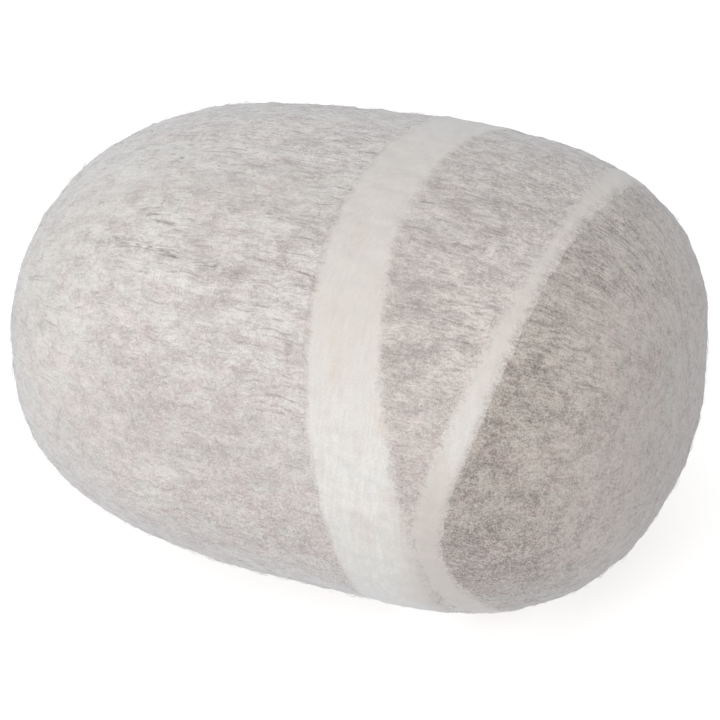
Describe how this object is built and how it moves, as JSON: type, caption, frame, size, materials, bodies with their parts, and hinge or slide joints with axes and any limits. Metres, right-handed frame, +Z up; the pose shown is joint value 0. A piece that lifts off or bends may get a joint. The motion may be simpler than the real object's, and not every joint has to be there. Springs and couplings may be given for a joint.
{
  "type": "wool dryer ball",
  "caption": "Pebble-shaped felted wool dryer ball in light heather grey, with a wide and a narrow off-white wool band, that tumbles with laundry.",
  "frame": {"origin": "on the ground under the middle of the ball's length and width, where the wool is pressed flat", "axes": "+X along the ball's length towards its heavier end with the narrow band, -Y the front seen in the picture, +Z up"},
  "size_m": [0.096, 0.073, 0.0622],
  "materials": {
    "light_grey_wool": "matt felted wool, heather grey with fine darker streaks and soft fuzz",
    "middle_grey_wool": "matt felted wool, a little darker heather grey",
    "dark_grey_wool": "matt felted wool, the darkest heather grey",
    "off_white_wool": "matt felted wool, undyed off-white",
    "carded_cream_wool": "loosely matted carded wool",
    "carded_grey_wool": "loosely matted carded wool",
    "wound_grey_yarn": "wound wool yarn"
  },
  "bodies": {
    "root": {"left_grey_felt": "light_grey_wool", "middle_grey_felt": "middle_grey_wool", "right_grey_felt": "dark_grey_wool", "wide_white_band": "off_white_wool", "narrow_white_band": "off_white_wool", "lengthwise_wool_wrap": "carded_cream_wool", "crosswise_wool_wrap": "carded_grey_wool", "core_yarn_ball": "wound_grey_yarn"}
  },
  "joints": []
}
